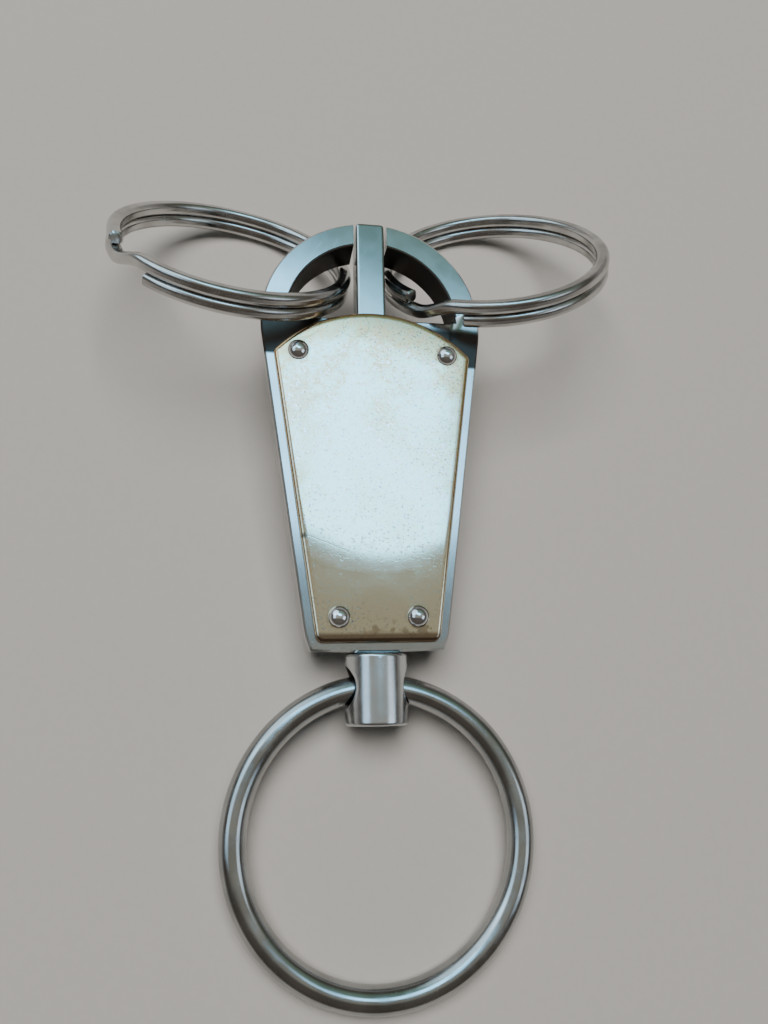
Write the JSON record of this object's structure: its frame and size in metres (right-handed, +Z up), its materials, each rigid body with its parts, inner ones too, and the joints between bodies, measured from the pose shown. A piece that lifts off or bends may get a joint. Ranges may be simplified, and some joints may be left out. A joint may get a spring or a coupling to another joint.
{
  "type": "key ring",
  "caption": "Valet-style key ring with a tapered steel body, a D-shaped arch closed by a sprung gate bar, split rings on the arch and a large pull ring.",
  "frame": {"origin": "middle of the bounding box's underside, as the key ring lies on a table", "axes": "+Z up from the table, +Y from the large ring towards the arch, +X to the right seen from above with the plate up"},
  "size_m": [0.0598, 0.094, 0.018],
  "materials": {
    "frame_steel": "polished steel with a fine grain and light wear",
    "plate_metal": "thin pale champagne plate, satin, lightly tarnished",
    "rivet_steel": "bright domed rivet heads",
    "gate_steel": "smooth ground bar",
    "rod_steel": "drawn rod",
    "spring_steel": "spring wire",
    "bush_steel": "turned bush",
    "barrel_steel": "turned and softly polished",
    "ring_steel": "smooth satin wire",
    "split_ring_steel": "polished flattened spring wire"
  },
  "bodies": {
    "body": {"body_frame": "frame_steel", "front_plate": "plate_metal", "rivet_upper_left": "rivet_steel", "rivet_upper_right": "rivet_steel", "rivet_lower_left": "rivet_steel", "rivet_lower_right": "rivet_steel", "end_bush": "bush_steel", "return_spring": "spring_steel"},
    "gate": {"gate_bar": "gate_steel", "pull_rod": "rod_steel", "eye_barrel": "barrel_steel"},
    "pull_ring": {"large_ring": "ring_steel"},
    "left_ring": {"left_split_ring": "split_ring_steel"},
    "right_ring": {"right_split_ring": "split_ring_steel"}
  },
  "joints": [
    {"name": "gate_slide", "type": "slide", "parent": "body", "child": "gate", "axis": [0, -0.9916, -0.1297], "range_m": [0, 0.006], "stiffness_N_per_m": 600, "springref_m": -0.003, "deforming": ["return_spring"]},
    {"name": "large_ring_swing", "type": "hinge", "parent": "gate", "child": "pull_ring", "pos_m": [0.00007, -0.01644, 0.00378], "axis": [-1, 0, 0], "range_deg": [-165, 165]},
    {"name": "left_split_ring_swing", "type": "hinge", "parent": "body", "child": "left_ring", "pos_m": [-0.00824, 0.03118, 0.01], "axis": [-1, 0, 0], "range_deg": [0, 85]},
    {"name": "right_split_ring_swing", "type": "hinge", "parent": "body", "child": "right_ring", "pos_m": [0.00837, 0.03118, 0.01], "axis": [-1, 0, 0], "range_deg": [0, 85]}
  ]
}
